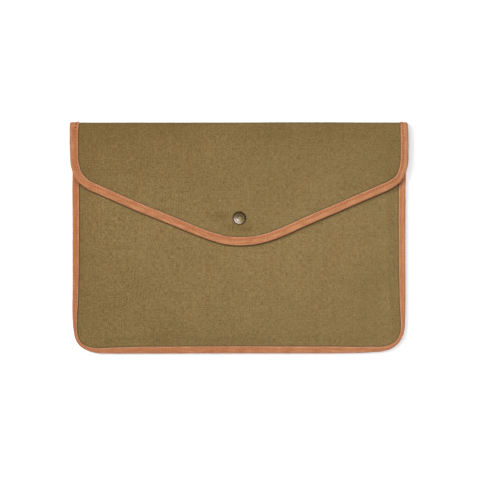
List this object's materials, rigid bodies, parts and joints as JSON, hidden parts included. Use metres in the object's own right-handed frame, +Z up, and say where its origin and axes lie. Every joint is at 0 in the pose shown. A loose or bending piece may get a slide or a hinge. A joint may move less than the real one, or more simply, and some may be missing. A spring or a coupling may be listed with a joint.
{
  "type": "envelope laptop sleeve",
  "caption": "Flat canvas laptop sleeve with an envelope flap, leather edge binding and a domed brass snap near the flap's point",
  "frame": {"origin": "under the middle of the sleeve's outer box, on the surface that its back lies on", "axes": "+X to the right across the sleeve, +Y towards the top fold, +Z up out of the front"},
  "size_m": [0.39, 0.266, 0.0198],
  "materials": {
    "canvas": "matte woven",
    "leather": "satin",
    "brass": "antique satin"
  },
  "bodies": {
    "root": {"back_panel": "canvas", "top_fold": "canvas", "flap_panel": "canvas", "front_panel": "canvas", "pocket_binding": "leather", "flap_binding": "leather", "fold_binding_left": "leather", "fold_binding_right": "leather", "snap_cap": "brass", "snap_stud": "brass"}
  },
  "joints": []
}
